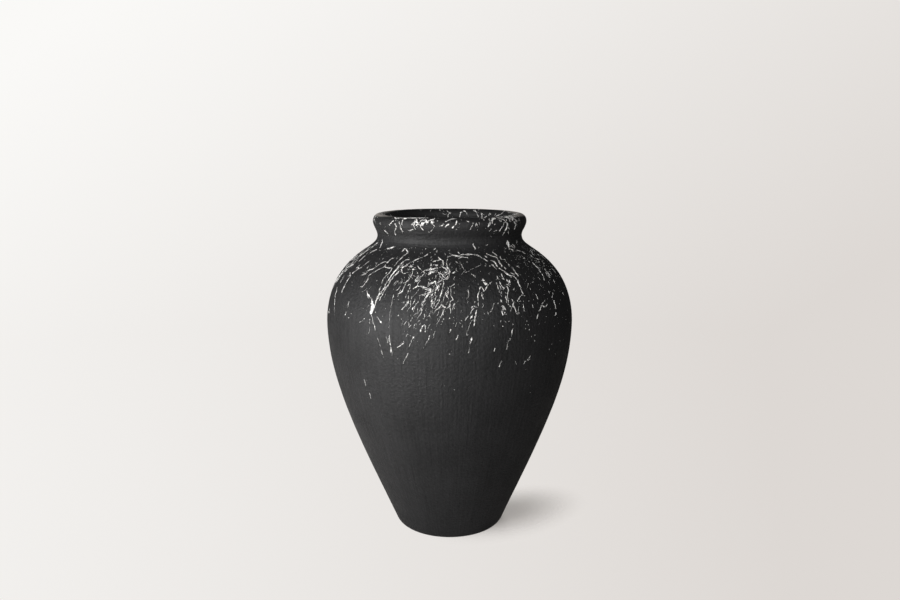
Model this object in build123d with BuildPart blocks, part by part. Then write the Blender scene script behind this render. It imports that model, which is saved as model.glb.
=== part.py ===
"""A wide-shouldered stoneware jar on a narrow foot, with a short drawn-in neck and a rolled rim.

A jar of this size is thrown in rings. Each ring ends in a half-thickness step, and the next ring sits over
it on a bed of slip. The pieces are the thrown rings from the base to the rim, and the beds between them.

Frame: millimetres, +Z up, the axis of the jar on Z, the ground it stands on at Z = 0.
"""

from build123d import *
from collections import namedtuple
from math import cos, radians, sin, tan
import os

# Foot and base
foot_radius = 73.0  # where the wall's line would meet the ground
foot_lean = 23.5  # degrees that the wall leans out from the foot
foot_round = 14.0  # rounded outer edge of the foot
foot_ring_width = 13.0  # flat ring that the jar stands on
recess_depth = 2.5  # hollow trimmed into the underside
recess_taper = 4.0  # width of the sloping edge of that hollow
base_thickness = 12.0  # from the ground to the inside of the base
base_round = 12.0  # inside corner between base and wall

# Wall, measured square to its surface
wall = 9.0

# Rises between the rings of the profile, from the ground up
base_rise = 20.0  # ground to the joint above the base
cone_rise = 40.0  # rest of the straight cone above that joint
waist_rise = 110.0
belly_rise = 124.0
shoulder_rise = 62.0
throat_rise = 36.0
neck_rise = 19.0
rim_rise = 19.25  # narrowest line of the neck to the widest line of the rim

# Radii of the profile, outside
belly_radius = 168.5
waist_draw = 25.1  # how far the waist lies inside the belly
shoulder_draw = 16.5  # how far the shoulder lies inside the belly
neck_radius = 98.4
throat_spread = 16.7  # how far the foot of the neck spreads beyond it
rim_flare = 6.0  # how far the rim stands out from the neck
lip_thickness = 19.5  # rolled lip, rounded over the top

# Lean of the wall at the rings, degrees outward going up
waist_lean = 19.5
shoulder_lean = -31.5
throat_lean = -56.0

# Joints between the rings
lap = 5.0  # height of the half-thickness step
slip_bed = 1.0  # thickness of the slip in the joint

# A ring of the profile: outside radius, height and lean of the wall there
Ring = namedtuple("Ring", "radius height lean")


def cone_radius(height):
    """Outside radius of the straight cone above the foot."""
    return foot_radius + height * tan(radians(foot_lean))


cone_height = base_rise + cone_rise
waist_height = cone_height + waist_rise
belly_height = waist_height + belly_rise
shoulder_height = belly_height + shoulder_rise
throat_height = shoulder_height + throat_rise
neck_height = throat_height + neck_rise
rim_height = neck_height + rim_rise
rim_radius = neck_radius + rim_flare
jar_height = rim_height + lip_thickness / 2

base_ring = Ring(cone_radius(base_rise), base_rise, foot_lean)
cone_ring = Ring(cone_radius(cone_height), cone_height, foot_lean)
waist_ring = Ring(belly_radius - waist_draw, waist_height, waist_lean)
belly_ring = Ring(belly_radius, belly_height, 0)
shoulder_ring = Ring(belly_radius - shoulder_draw, shoulder_height, shoulder_lean)
throat_ring = Ring(neck_radius + throat_spread, throat_height, throat_lean)
neck_ring = Ring(neck_radius, neck_height, 0)
curved_rings = [cone_ring, waist_ring, belly_ring, shoulder_ring, throat_ring, neck_ring]


def up_wall(ring):
    """Unit vector along the wall, upward."""
    return Vector(sin(radians(ring.lean)), cos(radians(ring.lean)))


def out_of_wall(ring):
    """Unit vector square to the wall, outward."""
    return Vector(cos(radians(ring.lean)), -sin(radians(ring.lean)))


def wall_point(ring, depth=0.0):
    """Point at a depth below the outside of the wall, in the plane of the profile."""
    return Vector(ring.radius, ring.height) - out_of_wall(ring) * depth


# The whole jar's cross-section, from the axis out: one closed outline of floor, wall and lip
foot_corner = Vector(foot_radius, 0)
contact_radius = cone_radius(foot_round) - foot_round / cos(radians(foot_lean))
recess_radius = contact_radius - foot_ring_width
base_corner = Vector(cone_radius(base_thickness) - wall / cos(radians(foot_lean)), base_thickness)
rim_outside = Vector(rim_radius, rim_height)
rim_crest = Vector(rim_radius - lip_thickness / 2, jar_height)
rim_inside = Vector(rim_radius - lip_thickness, rim_height)
straight_up = Vector(0, 1)

with BuildSketch() as jar_section:
    with BuildLine():
        Polyline(
            (0, base_thickness),
            (0, recess_depth),
            (recess_radius - recess_taper, recess_depth),
            (recess_radius, 0),
            foot_corner,
            wall_point(cone_ring),
        )
        Spline(
            *[wall_point(ring) for ring in curved_rings],
            rim_outside,
            tangents=[*[up_wall(ring) for ring in curved_rings], straight_up],
        )
        ThreePointArc(rim_outside, rim_crest, rim_inside)
        Spline(
            *[wall_point(ring, wall) for ring in curved_rings],
            rim_inside,
            tangents=[*[up_wall(ring) for ring in curved_rings], straight_up],
        )
        Polyline(wall_point(cone_ring, wall), base_corner, (0, base_thickness))
    make_face()
    fillet(jar_section.vertices().sort_by_distance(foot_corner)[0], radius=foot_round)
    fillet(jar_section.vertices().sort_by_distance(base_corner)[0], radius=base_round)


def above_joint(ring, shift):
    """Everything above the stepped joint at a ring, its line moved up and outward by a shift.

    Inside the middle of the wall the joint lies half a lap higher than the ring, and outside it half a lap lower.
    """
    middle = wall_point(ring, wall / 2)
    out, up = out_of_wall(ring), up_wall(ring)
    high, low = up * (lap / 2 + shift), up * (shift - lap / 2)
    inner_end = middle - out * wall + high
    outer_end = middle + out * (wall + shift) + low
    clear_radius = belly_radius + wall + jar_height
    clear_height = jar_height + wall
    with BuildSketch() as above:
        with BuildLine():
            Polyline(
                (0, inner_end.Y),
                inner_end,
                middle + out * shift + high,
                middle + out * shift + low,
                outer_end,
                (clear_radius, outer_end.Y),
                (clear_radius, clear_height),
                (0, clear_height),
                close=True,
            )
        make_face()
    return above.sketch


def clay_between(lower_joint=None, upper_joint=None):
    """Cross-section of the clay between two joints, or to the end of the jar where there is none."""
    with BuildSketch() as clay:
        add(jar_section.sketch)
        if lower_joint:
            add(above_joint(lower_joint, slip_bed), mode=Mode.INTERSECT)
        if upper_joint:
            add(above_joint(upper_joint, 0), mode=Mode.SUBTRACT)
    return clay.sketch


def slip_in(joint):
    """Cross-section of the slip that beds one joint."""
    with BuildSketch() as slip:
        add(jar_section.sketch)
        add(above_joint(joint, 0), mode=Mode.INTERSECT)
        add(above_joint(joint, slip_bed), mode=Mode.SUBTRACT)
    return slip.sketch


# Thrown rings of clay, from the ground up

with BuildPart() as base_dish:
    with BuildSketch(Plane.XZ):
        add(clay_between(upper_joint=base_ring))
    revolve(axis=Axis.Z)
base_dish.part.label = "base_dish"

with BuildPart() as lower_wall:
    with BuildSketch(Plane.XZ):
        add(clay_between(base_ring, waist_ring))
    revolve(axis=Axis.Z)
lower_wall.part.label = "lower_wall"

with BuildPart() as belly_wall:
    with BuildSketch(Plane.XZ):
        add(clay_between(waist_ring, belly_ring))
    revolve(axis=Axis.Z)
belly_wall.part.label = "belly_wall"

with BuildPart() as shoulder_wall:
    with BuildSketch(Plane.XZ):
        add(clay_between(belly_ring, throat_ring))
    revolve(axis=Axis.Z)
shoulder_wall.part.label = "shoulder_wall"

with BuildPart() as neck_collar:
    with BuildSketch(Plane.XZ):
        add(clay_between(throat_ring, neck_ring))
    revolve(axis=Axis.Z)
neck_collar.part.label = "neck_collar"

with BuildPart() as rolled_rim:
    with BuildSketch(Plane.XZ):
        add(clay_between(lower_joint=neck_ring))
    revolve(axis=Axis.Z)
rolled_rim.part.label = "rolled_rim"

# Beds of slip, one in each joint

with BuildPart() as base_slip:
    with BuildSketch(Plane.XZ):
        add(slip_in(base_ring))
    revolve(axis=Axis.Z)
base_slip.part.label = "base_slip"

with BuildPart() as waist_slip:
    with BuildSketch(Plane.XZ):
        add(slip_in(waist_ring))
    revolve(axis=Axis.Z)
waist_slip.part.label = "waist_slip"

with BuildPart() as belly_slip:
    with BuildSketch(Plane.XZ):
        add(slip_in(belly_ring))
    revolve(axis=Axis.Z)
belly_slip.part.label = "belly_slip"

with BuildPart() as throat_slip:
    with BuildSketch(Plane.XZ):
        add(slip_in(throat_ring))
    revolve(axis=Axis.Z)
throat_slip.part.label = "throat_slip"

with BuildPart() as neck_slip:
    with BuildSketch(Plane.XZ):
        add(slip_in(neck_ring))
    revolve(axis=Axis.Z)
neck_slip.part.label = "neck_slip"

clay_rings = [base_dish, lower_wall, belly_wall, shoulder_wall, neck_collar, rolled_rim]
slip_beds = [base_slip, waist_slip, belly_slip, throat_slip, neck_slip]

os.makedirs("parts", exist_ok=True)
for piece in [*clay_rings, *slip_beds]:
    export_step(piece.part, f"parts/{piece.part.label}.step")
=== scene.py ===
"""Dresses the shouldered jar: hand-thrown stoneware under matt black slip, white slip flicked on it.

Frame: metres in the scene, millimetres in the sizes below, +Z up, the jar's axis on Z, and the viewer of
the photo on -Y.
"""

import random
from bisect import bisect_left
from collections import namedtuple
from itertools import accumulate
from math import atan2, ceil, cos, degrees, hypot, pi, radians, sin, tan

import bpy
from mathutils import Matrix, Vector, noise
from mathutils.bvhtree import BVHTree
from mathutils.geometry import interpolate_bezier


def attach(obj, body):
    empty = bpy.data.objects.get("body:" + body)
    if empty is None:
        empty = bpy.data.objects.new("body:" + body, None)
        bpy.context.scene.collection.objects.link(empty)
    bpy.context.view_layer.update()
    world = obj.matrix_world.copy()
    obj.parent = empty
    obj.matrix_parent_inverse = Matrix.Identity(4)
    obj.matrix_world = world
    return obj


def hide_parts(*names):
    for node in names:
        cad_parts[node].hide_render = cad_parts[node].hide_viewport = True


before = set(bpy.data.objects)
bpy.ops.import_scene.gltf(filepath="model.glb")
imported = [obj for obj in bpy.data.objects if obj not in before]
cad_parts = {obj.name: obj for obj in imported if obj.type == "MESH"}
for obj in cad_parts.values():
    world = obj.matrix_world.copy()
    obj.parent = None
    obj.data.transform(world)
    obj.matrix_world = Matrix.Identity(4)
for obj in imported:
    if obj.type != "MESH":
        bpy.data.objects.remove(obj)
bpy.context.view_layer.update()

MM = 0.001

# Profile of the jar, as the solids have it
FOOT_RADIUS = 73.0
FOOT_LEAN = 23.5
FOOT_ROUND = 14.0
FOOT_RING_WIDTH = 13.0
RECESS_DEPTH = 2.5
RECESS_TAPER = 4.0
BASE_THICKNESS = 12.0
BASE_ROUND = 12.0
WALL = 9.0
LIP_RADIUS = 9.75

# Stations up the wall: outside radius, height and lean outward in degrees
Ring = namedtuple("Ring", "radius height lean")


def cone_radius(height):
    """Outside radius of the straight cone above the foot."""
    return FOOT_RADIUS + height * tan(radians(FOOT_LEAN))


CONE = Ring(cone_radius(60), 60, FOOT_LEAN)
WAIST = Ring(143.4, 170, 19.5)
BELLY = Ring(168.5, 294, 0)
SHOULDER = Ring(152.0, 356, -31.5)
THROAT = Ring(115.1, 392, -56)
NECK = Ring(98.4, 411, 0)
RIM = Ring(104.4, 430.25, 0)
WALL_RINGS = [CONE, WAIST, BELLY, SHOULDER, THROAT, NECK]

# Height of the joint above the base; the other joints lie at stations
BASE_JOINT = 20

# Fineness of the jar's mesh: steps in a turn, and steps between two knots of each stretch of the section
SPOKES = 288
OUTSIDE_STEPS = 44
INSIDE_STEPS = 20
LIP_STEPS = 14
FLAT_STEPS = 6
# Points nearer than this are one point, and edges that turn by more degrees than this stay sharp
MERGE = 0.02
SHARP_TURN = 40


def srgb(code):
    """Linear colour from an sRGB hex code."""
    shares = [int(code[i : i + 2], 16) / 255 for i in (1, 3, 5)]
    return (*[s / 12.92 if s <= 0.04045 else ((s + 0.055) / 1.055) ** 2.4 for s in shares], 1)


def add_node(tree, kind, inputs=(), **settings):
    """Adds a node with its settings; each input is a value or another node's socket."""
    made = tree.nodes.new(kind)
    for name, value in settings.items():
        setattr(made, name, value)
    for socket, value in dict(inputs).items():
        if isinstance(value, bpy.types.NodeSocket):
            tree.links.new(value, made.inputs[socket])
        else:
            made.inputs[socket].default_value = value
    return made


def new_material(name):
    """A material with an empty tree, and that tree."""
    material = bpy.data.materials.new(name)
    material.use_nodes = True
    material.node_tree.nodes.clear()
    return material, material.node_tree


# The jar's half section

# A knot of its line: a place (radius, height) and the way that the line runs there, in degrees from upright.
# The line runs up the inside, over the lip, down the outside and in under the foot
Knot = namedtuple("Knot", "place way")


def along(way):
    """Unit vector that leans outward from upright by some degrees."""
    return Vector((sin(radians(way)), cos(radians(way))))


def handles(knot, next_knot):
    """The two curve handles between two knots, as long as a round arc of that bend has them."""
    bend = radians(next_knot.way - knot.way)
    reach = (next_knot.place - knot.place).length / (3 * cos(bend / 4) ** 2)
    return knot.place + along(knot.way) * reach, next_knot.place - along(next_knot.way) * reach


def straight(start, end):
    """Two knots of a straight line."""
    way = degrees(atan2(end.x - start.x, end.y - start.y))
    return [Knot(start, way), Knot(end, way)]


square = along(FOOT_LEAN + 90)
foot_centre = Vector((cone_radius(FOOT_ROUND) - FOOT_ROUND / square.x, FOOT_ROUND))
foot_edge = foot_centre - Vector((0, FOOT_ROUND))
recess_edge = foot_edge - Vector((FOOT_RING_WIDTH, 0))
recess_roof = recess_edge + Vector((-RECESS_TAPER, RECESS_DEPTH))
base_turn = BASE_THICKNESS + BASE_ROUND
base_centre = Vector((cone_radius(base_turn) - (WALL + BASE_ROUND) / square.x, base_turn))
base_edge = base_centre - Vector((0, BASE_ROUND))
rim_outside = Vector((RIM.radius, RIM.height))
crest = rim_outside + Vector((-LIP_RADIUS, LIP_RADIUS))
rim_inside = rim_outside - Vector((2 * LIP_RADIUS, 0))

inside = [Knot(base_edge, 90), Knot(base_centre + square * BASE_ROUND, FOOT_LEAN)]
inside += [Knot(Vector((r.radius, r.height)) - along(r.lean + 90) * WALL, r.lean) for r in WALL_RINGS]
inside += [Knot(rim_inside, 0)]
lip = [Knot(rim_inside, 0), Knot(crest, 90), Knot(rim_outside, 180)]
outside = [Knot(rim_outside, 180)]
outside += [Knot(Vector((r.radius, r.height)), r.lean + 180) for r in reversed(WALL_RINGS)]
outside += [Knot(foot_centre + square * FOOT_ROUND, FOOT_LEAN + 180), Knot(foot_edge, 270)]
section = [
    (straight(Vector((0, BASE_THICKNESS)), base_edge), FLAT_STEPS),
    (inside, INSIDE_STEPS),
    (lip, LIP_STEPS),
    (outside, OUTSIDE_STEPS),
    (straight(foot_edge, recess_edge), FLAT_STEPS),
    (straight(recess_edge, recess_roof), FLAT_STEPS),
    (straight(recess_roof, Vector((0, RECESS_DEPTH))), FLAT_STEPS),
]


# The thrown jar

# Heights over which the hand's wobble grows from the true foot, and the finger rings from the base
WOBBLE_GROWS = (4, 30)
RINGS_GROW = (8, 30)
# Share of the finger rings that the wall has, and the heights over which the neck's full ones come and go
WALL_SHARE = 0.3
NECK_RINGS_GROW = (388, 404)
NECK_RINGS_FADE = (418, 430)


def activate(piece):
    """Leaves only this piece selected, and active."""
    bpy.ops.object.select_all(action="DESELECT")
    piece.select_set(True)
    bpy.context.view_layer.objects.active = piece


def merge_points():
    """Makes one point of those that lie on one another in the active mesh."""
    bpy.ops.object.mode_set(mode="EDIT")
    bpy.ops.mesh.select_all(action="SELECT")
    bpy.ops.mesh.remove_doubles(threshold=MERGE * MM)
    bpy.ops.object.mode_set(mode="OBJECT")


def face_outward():
    """Turns the faces of the active mesh outward."""
    bpy.ops.object.mode_set(mode="EDIT")
    bpy.ops.mesh.select_all(action="SELECT")
    bpy.ops.mesh.normals_make_consistent(inside=False)
    bpy.ops.object.mode_set(mode="OBJECT")


def upright(place):
    """A place of the section in the scene, on the plane through the axis and +X."""
    return Vector((place.x, 0, place.y)) * MM


def throw_jar():
    """The whole jar: its half section drawn as a curve, made a line of edges and spun round the axis."""
    bpy.ops.object.select_all(action="DESELECT")
    bpy.ops.curve.primitive_bezier_curve_add()
    jar = bpy.context.object
    jar.data.splines.clear()
    for knots, steps in section:
        line = jar.data.splines.new("BEZIER")
        line.resolution_u = steps
        line.bezier_points.add(len(knots) - 1)
        for point, knot in zip(line.bezier_points, knots):
            point.handle_left_type = point.handle_right_type = "FREE"
            point.co = point.handle_left = point.handle_right = upright(knot.place)
        for i, (leaving, arriving) in enumerate(map(handles, knots, knots[1:])):
            line.bezier_points[i].handle_right = upright(leaving)
            line.bezier_points[i + 1].handle_left = upright(arriving)
    bpy.ops.object.convert(target="MESH")
    merge_points()
    bpy.ops.object.modifier_add(type="SCREW")
    wheel = jar.modifiers[-1]
    wheel.steps = wheel.render_steps = SPOKES
    bpy.ops.object.modifier_apply(modifier=wheel.name)
    merge_points()
    face_outward()
    return jar


def ease(value, low, high):
    """0 up to low, 1 from high on, and smooth between."""
    share = min(max((value - low) / (high - low), 0), 1)
    return share * share * (3 - 2 * share)


def ruffle(jar, name, grain, stretch, height, weight):
    """Pushes the wall by a cloud of a grain in mm, stretched in x, y and z, and weighted by height."""
    group = jar.vertex_groups.new(name=name)
    levels = {}
    for vertex in jar.data.vertices:
        levels.setdefault(round(weight(vertex.co.z / MM), 2), []).append(vertex.index)
    for level, members in levels.items():
        group.add(members, level, "REPLACE")
    cloud = bpy.data.textures.new(name, "CLOUDS")
    cloud.noise_scale = grain * MM
    bpy.ops.object.empty_add()
    guide = bpy.context.object
    guide.scale = stretch
    bpy.context.view_layer.update()
    activate(jar)
    bpy.ops.object.modifier_add(type="DISPLACE")
    push = jar.modifiers[-1]
    push.texture = cloud
    push.texture_coords = "OBJECT"
    push.texture_coords_object = guide
    push.strength = height * MM
    push.vertex_group = name
    bpy.ops.object.modifier_apply(modifier=push.name)
    jar.vertex_groups.remove(jar.vertex_groups[name])
    bpy.data.objects.remove(guide)
    bpy.data.textures.remove(cloud)


def wobble(z):
    """The hand's wobble, with the foot left true."""
    return ease(z, *WOBBLE_GROWS)


def finger_rings(z):
    """Rings from the thrower's fingers: faint up the wall, plain on the neck."""
    on_neck = ease(z, *NECK_RINGS_GROW) * (1 - ease(z, *NECK_RINGS_FADE))
    return WALL_SHARE * ease(z, *RINGS_GROW) + (1 - WALL_SHARE) * on_neck


jar = throw_jar()
ruffle(jar, "wobble", grain=90, stretch=(1, 1, 1), height=0.9, weight=wobble)
ruffle(jar, "finger_rings", grain=3.5, stretch=(25, 25, 1), height=0.5, weight=finger_rings)
wall_tree = BVHTree.FromObject(jar, bpy.context.evaluated_depsgraph_get())


def cut_ring(name, low, high):
    """One thrown ring, cut out of the jar between two heights and closed over at each cut."""
    activate(jar)
    bpy.ops.object.duplicate()
    piece = bpy.context.object
    piece.name = piece.data.name = name
    bpy.ops.object.mode_set(mode="EDIT")
    for height, is_low in ((low, True), (high, False)):
        if height is None:
            continue
        bpy.ops.mesh.select_all(action="SELECT")
        cut = {"plane_co": (0, 0, height * MM), "plane_no": (0, 0, 1)}
        bpy.ops.mesh.bisect(**cut, clear_inner=is_low, clear_outer=not is_low)
        bpy.ops.mesh.bridge_edge_loops()
    bpy.ops.object.mode_set(mode="OBJECT")
    face_outward()
    bpy.ops.object.shade_smooth_by_angle(angle=radians(SHARP_TURN))
    return piece


# Black slip

# Its patterns in mm: an eggshell grain, drawn coarser than the slip's own, which is too fine to show, broad
# clouds, upright brush marks, and level lines from the wheel, which come in between two heights
EGGSHELL = 3.6
CLOUDS = 60
BRUSH_WIDTH = 3
BRUSH_LENGTH = 70
LINE_HEIGHT = 2.5
LINE_LENGTH = 90
LINES_FROM = 388
LINES_FULL = 402
# Shares of the marks beside the grain in the tone and in the relief, and of the clouds in the whole tone
MARKS_TONE = 0.5
MARKS_RELIEF = 0.3
CLOUDS_TONE = 0.35
# Where the patterns are darkest and lightest, the black and the roughness there, and the relief in mm
DARK_TONE = 0.35
LIGHT_TONE = 0.65
DARK_BLACK = "#0d0d0e"
LIGHT_BLACK = "#242425"
DARK_ROUGHNESS = 0.68
LIGHT_ROUGHNESS = 0.52
RELIEF = 1.7
# Painted highlight on the lip's two ends, a warm grey where its height and a share of the way out along X
# together come to these millimetres, and more so from the dark of the grain to the light of it
PAINTED_HIGHLIGHT_GREY = "#bfb9b2"
HIGHLIGHT_OUT_SHARE = 0.1
HIGHLIGHT_FROM = 446.5
HIGHLIGHT_FULL = 449
HIGHLIGHT_GRAIN_DARK = 0.3
HIGHLIGHT_GRAIN_LIGHT = 0.6
HIGHLIGHT_LEAST = 0.45


def black_slip():
    """Matt black slip brushed on stoneware: an eggshell grain, faint brush marks and a soft sheen."""
    material, tree = new_material("black_slip_stoneware")
    place = add_node(tree, "ShaderNodeTexCoord").outputs["Object"]
    eggshell = {"Vector": place, "Scale": 1 / (EGGSHELL * MM), "Detail": 3.0, "Roughness": 0.6}
    grain = add_node(tree, "ShaderNodeTexNoise", eggshell).outputs[0]
    broad = {"Vector": place, "Scale": 1 / (CLOUDS * MM), "Detail": 3.0}
    cloud = add_node(tree, "ShaderNodeTexNoise", broad).outputs[0]
    # Brush marks: noise on the turn round the axis, drawn out up the wall
    flat = add_node(tree, "ShaderNodeVectorMath", {0: place, 1: (1, 1, 0)}, operation="MULTIPLY")
    turn = add_node(tree, "ShaderNodeVectorMath", {0: flat.outputs[0]}, operation="NORMALIZE")
    per_turn = (BELLY.radius / BRUSH_WIDTH,) * 3
    girth = add_node(tree, "ShaderNodeVectorMath", {0: turn.outputs[0], 1: per_turn}, operation="MULTIPLY")
    per_rise = (0, 0, 1 / (BRUSH_LENGTH * MM))
    rise = add_node(tree, "ShaderNodeVectorMath", {0: place, 1: per_rise}, operation="MULTIPLY")
    drawn = add_node(tree, "ShaderNodeVectorMath", {0: girth.outputs[0], 1: rise.outputs[0]})
    brushed = {"Vector": drawn.outputs[0], "Scale": 1.0, "Detail": 3.0}
    brush = add_node(tree, "ShaderNodeTexNoise", brushed).outputs[0]
    # On the neck, level lines from the turning wheel take the place of the brush marks
    per_line = (1 / (LINE_LENGTH * MM), 1 / (LINE_LENGTH * MM), 1 / (LINE_HEIGHT * MM))
    level = add_node(tree, "ShaderNodeVectorMath", {0: place, 1: per_line}, operation="MULTIPLY")
    wheeled = {"Vector": level.outputs[0], "Scale": 1.0, "Detail": 2.0}
    lines = add_node(tree, "ShaderNodeTexNoise", wheeled).outputs[0]
    height = add_node(tree, "ShaderNodeSeparateXYZ", {0: place}).outputs["Z"]
    on_neck = add_node(tree, "ShaderNodeMapRange", {0: height, 1: LINES_FROM * MM, 2: LINES_FULL * MM})
    marks = add_node(tree, "ShaderNodeMix", {0: on_neck.outputs[0], 2: brush, 3: lines}).outputs[0]
    fine = add_node(tree, "ShaderNodeMix", {0: MARKS_TONE, 2: grain, 3: marks}).outputs[0]
    tone = add_node(tree, "ShaderNodeMix", {0: CLOUDS_TONE, 2: fine, 3: cloud}).outputs[0]
    shade = add_node(tree, "ShaderNodeValToRGB", {"Fac": tone})
    stops = ((DARK_TONE, DARK_BLACK), (LIGHT_TONE, LIGHT_BLACK))
    for element, (position, colour) in zip(shade.color_ramp.elements, stops):
        element.position = position
        element.color = srgb(colour)
    # Painted highlight: a warm grey painted at the two sides of the lip, high up and far out along X, for
    # light caught there
    aside = add_node(tree, "ShaderNodeVectorMath", {0: place}, operation="ABSOLUTE")
    up_and_out = {0: aside.outputs[0], 1: (HIGHLIGHT_OUT_SHARE, 0, 1)}
    reach = add_node(tree, "ShaderNodeVectorMath", up_and_out, operation="DOT_PRODUCT").outputs["Value"]
    lip_highlight_mask = add_node(tree, "ShaderNodeMapRange", {0: reach, 1: HIGHLIGHT_FROM * MM, 2: HIGHLIGHT_FULL * MM})
    patchy = add_node(tree, "ShaderNodeMapRange", {0: grain, 1: HIGHLIGHT_GRAIN_DARK, 2: HIGHLIGHT_GRAIN_LIGHT, 3: HIGHLIGHT_LEAST})
    both = {0: lip_highlight_mask.outputs[0], 1: patchy.outputs[0]}
    painted_highlight = add_node(tree, "ShaderNodeMath", both, operation="MULTIPLY").outputs[0]
    # The painted highlight's grey laid over the black slip's tone
    tints = {0: painted_highlight, 6: shade.outputs[0], 7: srgb(PAINTED_HIGHLIGHT_GREY)}
    colour = add_node(tree, "ShaderNodeMix", tints, data_type="RGBA").outputs[2]
    dulled = {0: tone, 1: DARK_TONE, 2: LIGHT_TONE, 3: DARK_ROUGHNESS, 4: LIGHT_ROUGHNESS}
    rough = add_node(tree, "ShaderNodeMapRange", dulled).outputs[0]
    relief = add_node(tree, "ShaderNodeMix", {0: MARKS_RELIEF, 2: grain, 3: marks}).outputs[0]
    bump = add_node(tree, "ShaderNodeBump", {"Height": relief, "Strength": 1.0, "Distance": RELIEF * MM})
    surface = {"Base Color": colour, "Roughness": rough, "Normal": bump.outputs[0]}
    surface |= {"IOR": 1.5, "Specular IOR Level": 0.37}
    shader = add_node(tree, "ShaderNodeBsdfPrincipled", surface)
    add_node(tree, "ShaderNodeOutputMaterial", {"Surface": shader.outputs[0]})
    return material


def dress(piece, material, slot, *nodes):
    """Gives a finished piece its material, hangs it on the root body, and hides the solids that it takes the
    place of.
    """
    piece.data.materials.clear()
    piece.data.materials.append(material)
    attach(piece, "root")
    if nodes:
        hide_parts(*nodes)


black = black_slip()
thrown_rings = [
    ("thrown_base", None, BASE_JOINT, "base_dish", "base_slip"),
    ("thrown_lower_wall", BASE_JOINT, WAIST.height, "lower_wall", "waist_slip"),
    ("thrown_belly", WAIST.height, BELLY.height, "belly_wall", "belly_slip"),
    ("thrown_shoulder", BELLY.height, THROAT.height, "shoulder_wall", "throat_slip"),
    ("thrown_neck", THROAT.height, NECK.height, "neck_collar", "neck_slip"),
    ("thrown_rim", NECK.height, None, "rolled_rim"),
]
for name, low, high, *nodes in thrown_rings:
    dress(cut_ring(name, low, high), black, "black_stoneware", *nodes)
bpy.data.objects.remove(jar)


# White slip, flicked on with a brush

# A place on the wall is a turn in degrees right of the front, and a tape mark: millimetres from the crest of
# the lip down the outside, or below zero down the inside


def places_along(knots, steps):
    """Places along a stretch of the section, without its end."""
    places = []
    for knot, next_knot in zip(knots, knots[1:]):
        curve = interpolate_bezier(knot.place, *handles(knot, next_knot), next_knot.place, steps + 1)
        places += curve[:-1]
    return places


tape_line = places_along(inside, INSIDE_STEPS)
tape_line += places_along(lip, LIP_STEPS)
tape_line += places_along(outside, OUTSIDE_STEPS)
tape_steps = [(b - a).length for a, b in zip(tape_line, tape_line[1:])]
tape_marks = list(accumulate(tape_steps, initial=0))
crest_mark = tape_marks[tape_line.index(crest)]
tape_marks = [mark - crest_mark for mark in tape_marks]


def at_tape(mark):
    """Place on the section at a tape mark, and the way out of the clay there."""
    i = min(max(bisect_left(tape_marks, mark), 1), len(tape_marks) - 1)
    start, end = tape_line[i - 1], tape_line[i]
    share = (mark - tape_marks[i - 1]) / (tape_marks[i] - tape_marks[i - 1])
    run = (end - start).normalized()
    return start.lerp(end, share), Vector((-run.y, run.x))


def on_wall(place):
    """Point on the thrown wall at a turn and tape mark, and the way out of the clay there."""
    spot, out = at_tape(place.y)
    spoke = Vector((sin(radians(place.x)), -cos(radians(place.x)), 0))
    point = (spoke * spot.x + Vector((0, 0, spot.y))) * MM
    return wall_tree.find_nearest(point)[0], spoke * out.x + Vector((0, 0, out.y))


def girth_degrees(mark):
    """Degrees in a millimetre round the wall at a tape mark."""
    return degrees(1 / at_tape(mark)[0].x)


# How a brush leaves its slip: the width of its main strand, and the finer hairs beside it with how far they
# stray. A hair has a share of the strand's width, and starts and ends between these shares of the stroke
Brush = namedtuple("Brush", "width hairs stray")
HEAVY = Brush(1.08, 6, 1.4)
BOLD = Brush(0.72, 2, 1.1)
PLAIN = Brush(0.52, 1, 1.0)
FINE = Brush(0.36, 0, 0)
FAINT = Brush(0.22, 0, 0)
HAIR_SHARE = 0.5
HAIR_STARTS = (0, 0.4)
HAIR_ENDS = (0.6, 1)
# Load of slip in a main strand and in a hair, and the load under which either breaks off
STRAND_LOAD = 0.62
HAIR_LOAD = 0.48
DRY = 0.25

# Unevenness along a strand: its size, the steps of the line that it runs over, and its row of the noise. The
# first three move the strand aside in mm, the third times the brush's stray, and the others change its load
Sway = namedtuple("Sway", "size steps row")
HAND_SWAY = Sway(1.0, 8, 0)
STRAND_SWAY = Sway(0.6, 2.8, 5)
STRAY_SWAY = Sway(3, 11, 0)
QUICK_LOAD = Sway(0.65, 2.6, 9)
SLOW_LOAD = Sway(0.5, 9, 4)
NOISE_SPAN = 1000

# A ridge of slip: the step along it, its height and the depth that its edges sink, all in mm, its corners,
# the share of its width that is its top, its least points, and the turn past which an edge stays sharp
LINE_STEP = 0.9
SLIP_HEIGHT = 0.24
SLIP_SINK = 0.1
RIDGE_CORNERS = 4
TOP_SHARE = 0.5
LEAST_POINTS = 3
SLIP_SHARP_TURN = 60
# Its fullness: the share at its tip and the gain with each step from there, and the least share and the gain
# with the cube of the load
TIP_SHARE = 0.35
TIP_GAIN = 0.4
LEAST_SHARE = 0.15
LOAD_GAIN = 2.6
# A bead of slip: its corners, how far out they lie as shares of its radius, and the radius of the bead at an
# end of a stroke as a share of the brush's width
DROP_SIDES = 7
DROP_REACH = (0.7, 1.2)
END_DROP = (0.4, 0.8)

chance = random.Random(11)


def sway(kind, step, seed):
    """Unevenness of a kind at a step along a strand."""
    return kind.size * noise.noise((step / kind.steps, seed, kind.row))


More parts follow.
